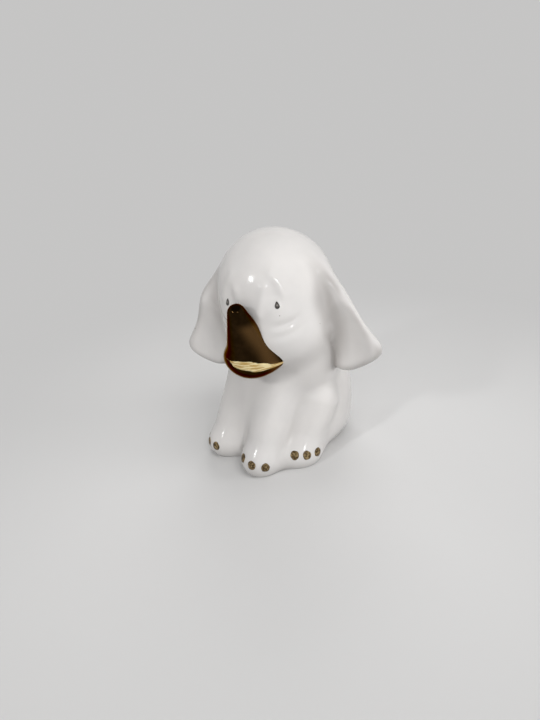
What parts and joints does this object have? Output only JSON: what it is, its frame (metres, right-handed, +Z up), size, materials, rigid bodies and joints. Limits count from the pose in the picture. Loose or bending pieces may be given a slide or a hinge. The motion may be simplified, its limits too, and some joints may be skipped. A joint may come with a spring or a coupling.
{
  "type": "porcelain elephant figurine",
  "caption": "Seated elephant figurine of hollow glazed porcelain with cupped, drooping ears, a raised trunk in gold lustre and gold-painted toenails; a free-standing shelf ornament.",
  "frame": {"origin": "on the base, in the plane it stands on, midway between the left and right legs", "axes": "+X toward the figure's own left side, +Y toward its rump, +Z up; the body faces -Y"},
  "size_m": [0.0829, 0.0716, 0.0971],
  "materials": {
    "porcelain": "white porcelain under a clear gloss glaze",
    "gold_lustre": "thin fired gold lustre with a mirror shine",
    "pupil_enamel": "dark grey painted enamel under the glaze"
  },
  "bodies": {
    "root": {"body_shell": "porcelain", "head_shell": "porcelain", "left_ear": "porcelain", "right_ear": "porcelain", "trunk_core": "porcelain", "trunk_lustre": "gold_lustre", "left_front_leg": "porcelain", "right_front_leg": "porcelain", "left_hind_leg": "porcelain", "right_hind_leg": "porcelain", "tail": "porcelain", "left_eye": "pupil_enamel", "right_eye": "pupil_enamel", "left_front_nails": "gold_lustre", "right_front_nails": "gold_lustre", "left_hind_nails": "gold_lustre", "right_hind_nails": "gold_lustre"}
  },
  "joints": []
}
